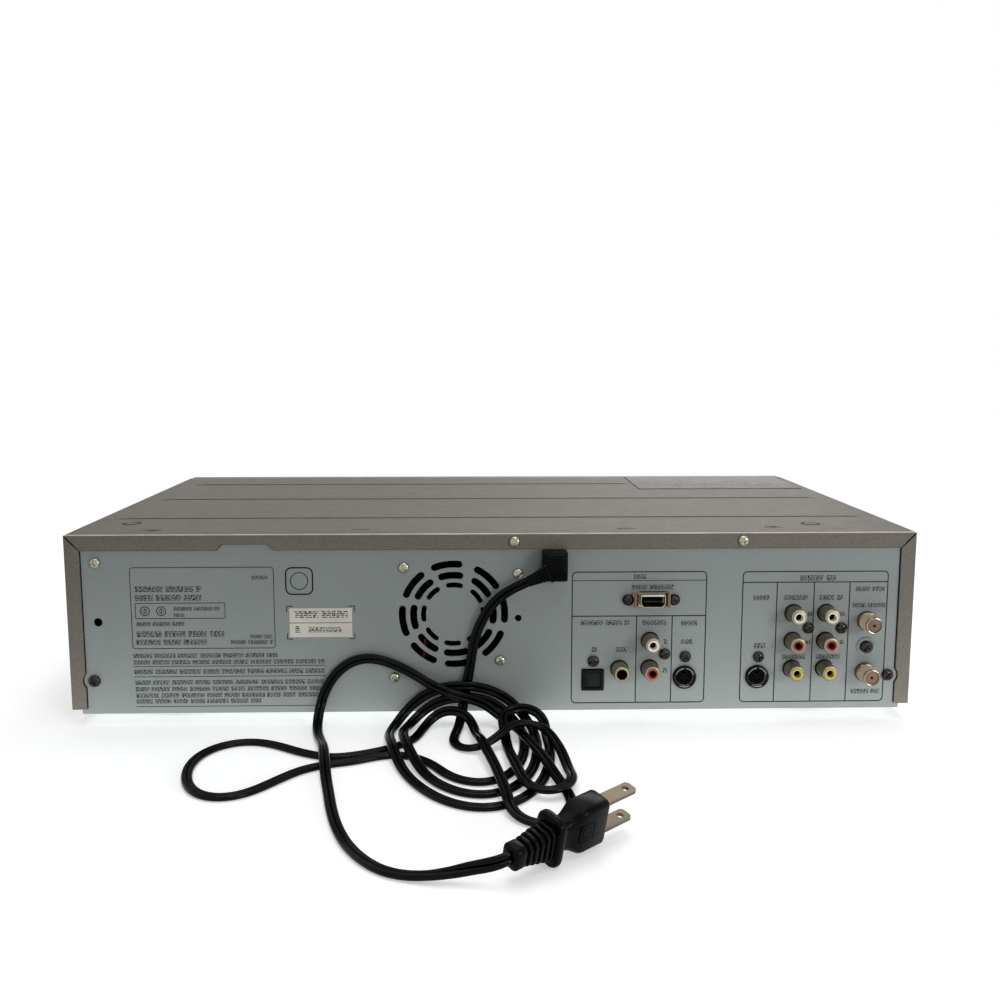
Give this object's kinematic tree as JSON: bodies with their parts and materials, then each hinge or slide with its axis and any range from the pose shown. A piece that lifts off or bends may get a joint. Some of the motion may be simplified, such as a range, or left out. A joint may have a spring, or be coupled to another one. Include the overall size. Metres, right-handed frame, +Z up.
{
  "type": "dvd vcr combo player",
  "caption": "Full-width disc and video cassette player with loading tray, cassette bay, rear jacks, exhaust fan and a coiled mains cord with plug.",
  "frame": {"origin": "centre of the bounding box without the cord, on the floor under the feet", "axes": "+Z up, -Y the front with the tray and cassette door, +X the left seen from behind"},
  "size_m": [0.435, 0.4456, 0.0995],
  "materials": {
    "cover_paint": "metallic satin paint",
    "panel_steel": "plain coated sheet steel",
    "fascia_plastic": "satin",
    "dark_plastic": "moulded",
    "smoked_window": "dark window",
    "grey_plastic": "satin",
    "bare_steel": "plain",
    "brass": "plain",
    "warm_nickel": "warm plating",
    "board": "lacquered board",
    "soft_moulding": "moulded",
    "cord_plastic": "glossy flex"
  },
  "bodies": {
    "player_case": {"top_cover": "cover_paint", "rear_panel": "panel_steel", "chassis_pan": "panel_steel", "foot_front_left": "soft_moulding", "foot_front_right": "soft_moulding", "foot_rear_left": "soft_moulding", "foot_rear_right": "soft_moulding", "av_in_jacks": "warm_nickel", "av_out_jacks": "warm_nickel", "dvd_audio_jacks": "warm_nickel", "coax_jack": "warm_nickel", "svideo_in": "dark_plastic", "svideo_out": "dark_plastic", "optical_jack": "dark_plastic", "component_jack": "bare_steel", "rf_unit": "warm_nickel", "jack_board": "board", "fan_frame": "dark_plastic", "front_panel": "fascia_plastic", "display_window": "smoked_window", "front_board": "board", "front_av_jacks": "dark_plastic", "drive_frame": "grey_plastic", "clamp_bridge": "bare_steel", "deck_frame": "bare_steel", "drum_base": "bare_steel", "main_board": "board", "power_board": "board", "cord_bushing": "soft_moulding", "plug_body": "soft_moulding", "plug_blade_1": "brass", "plug_blade_2": "brass", "mains_cord_lead": "cord_plastic", "mains_cord_coil": "cord_plastic", "mains_cord_tail": "cord_plastic"},
    "cassette_door": {"cassette_door": "fascia_plastic"},
    "front_jack_flap": {"front_jack_flap": "fascia_plastic"},
    "tape_eject_button": {"tape_eject_button": "grey_plastic"},
    "play_button": {"play_button": "grey_plastic"},
    "stop_button": {"stop_button": "grey_plastic"},
    "record_button": {"record_button": "grey_plastic"},
    "power_button": {"power_button": "grey_plastic"},
    "disc_eject_button": {"disc_eject_button": "grey_plastic"},
    "channel_rocker": {"channel_rocker": "grey_plastic"},
    "disc_tray": {"disc_tray": "dark_plastic", "tray_fascia": "dark_plastic"},
    "tray_pinion": {"tray_pinion": "grey_plastic"},
    "traverse": {"traverse_frame": "dark_plastic", "guide_rod": "bare_steel", "spindle_motor": "bare_steel"},
    "turntable": {"turntable": "grey_plastic"},
    "pickup_sled": {"pickup_sled": "dark_plastic"},
    "disc_clamper": {"disc_clamper": "dark_plastic"},
    "carriage_slider": {"carriage_slider": "bare_steel"},
    "cassette_carriage": {"cassette_carriage": "bare_steel"},
    "head_drum": {"head_drum": "bare_steel"},
    "capstan": {"capstan": "bare_steel"},
    "supply_reel": {"supply_reel": "dark_plastic"},
    "takeup_reel": {"takeup_reel": "dark_plastic"},
    "fan_rotor": {"fan_rotor": "dark_plastic"}
  },
  "joints": [
    {"name": "cassette_door_swing", "type": "hinge", "parent": "player_case", "child": "cassette_door", "pos_m": [-0.108, -0.1384, 0.0869], "axis": [1, 0, 0], "range_deg": [0, 84], "stiffness_Nm_per_rad": 0.02},
    {"name": "front_flap_swing", "type": "hinge", "parent": "player_case", "child": "front_jack_flap", "pos_m": [-0.165, -0.1384, 0.01632], "axis": [1, 0, 0], "range_deg": [0, 90]},
    {"name": "tape_eject_press", "type": "slide", "parent": "player_case", "child": "tape_eject_button", "axis": [0, 1, 0], "range_m": [0, 0.0008], "stiffness_N_per_m": 300},
    {"name": "play_press", "type": "slide", "parent": "player_case", "child": "play_button", "axis": [0, 1, 0], "range_m": [0, 0.0008], "stiffness_N_per_m": 300},
    {"name": "stop_press", "type": "slide", "parent": "player_case", "child": "stop_button", "axis": [0, 1, 0], "range_m": [0, 0.0008], "stiffness_N_per_m": 300},
    {"name": "record_press", "type": "slide", "parent": "player_case", "child": "record_button", "axis": [0, 1, 0], "range_m": [0, 0.0008], "stiffness_N_per_m": 300},
    {"name": "power_press", "type": "slide", "parent": "player_case", "child": "power_button", "axis": [0, 1, 0], "range_m": [0, 0.0008], "stiffness_N_per_m": 300},
    {"name": "disc_eject_press", "type": "slide", "parent": "player_case", "child": "disc_eject_button", "axis": [0, 1, 0], "range_m": [0, 0.0008], "stiffness_N_per_m": 300},
    {"name": "channel_rock", "type": "hinge", "parent": "player_case", "child": "channel_rocker", "pos_m": [-0.05, -0.1384, 0.02901], "axis": [1, 0, 0], "range_deg": [-4, 4], "stiffness_Nm_per_rad": 0.05},
    {"name": "tray_slide", "type": "slide", "parent": "player_case", "child": "disc_tray", "axis": [0, -1, 0], "range_m": [0, 0.138]},
    {"name": "tray_pinion_spin", "type": "hinge", "parent": "player_case", "child": "tray_pinion", "pos_m": [0.064, -0.0996, 0.064], "axis": [0, 0, 1], "range_deg": [-5, 885]},
    {"name": "traverse_lift", "type": "hinge", "parent": "player_case", "child": "traverse", "pos_m": [0.11, 0.0349, 0.04755], "axis": [-1, 0, 0], "range_deg": [0, 5]},
    {"name": "turntable_spin", "type": "hinge", "parent": "traverse", "child": "turntable", "pos_m": [0.11, -0.0666, 0.06], "axis": [0, 0, 1], "continuous": true},
    {"name": "sled_slide", "type": "slide", "parent": "traverse", "child": "pickup_sled", "axis": [0, 1, 0], "range_m": [0, 0.034]},
    {"name": "clamper_spin", "type": "hinge", "parent": "player_case", "child": "disc_clamper", "pos_m": [0.11, -0.0666, 0.08], "axis": [0, 0, 1], "continuous": true},
    {"name": "carriage_in", "type": "slide", "parent": "player_case", "child": "carriage_slider", "axis": [0, 1, 0], "range_m": [0, 0.016]},
    {"name": "carriage_down", "type": "slide", "parent": "carriage_slider", "child": "cassette_carriage", "axis": [0, 0, -1], "range_m": [0, 0.026]},
    {"name": "head_drum_spin", "type": "hinge", "parent": "player_case", "child": "head_drum", "pos_m": [-0.114, 0.0476, 0.02549], "axis": [0.1028, 0, 0.9947], "continuous": true},
    {"name": "capstan_spin", "type": "hinge", "parent": "player_case", "child": "capstan", "pos_m": [-0.05, 0.0316, 0.02], "axis": [0, 0, 1], "continuous": true},
    {"name": "supply_reel_spin", "type": "hinge", "parent": "player_case", "child": "supply_reel", "pos_m": [-0.062, -0.0424, 0.024], "axis": [0, 0, 1], "continuous": true},
    {"name": "takeup_reel_spin", "type": "hinge", "parent": "player_case", "child": "takeup_reel", "pos_m": [-0.154, -0.0424, 0.024], "axis": [0, 0, 1], "continuous": true},
    {"name": "fan_spin", "type": "hinge", "parent": "player_case", "child": "fan_rotor", "pos_m": [0.021, 0.1185, 0.0575], "axis": [0, 1, 0], "continuous": true}
  ],
  "couplings": [
    {"joint": "tray_pinion_spin", "follows": "tray_slide", "rad_per_m": 111.11}
  ]
}
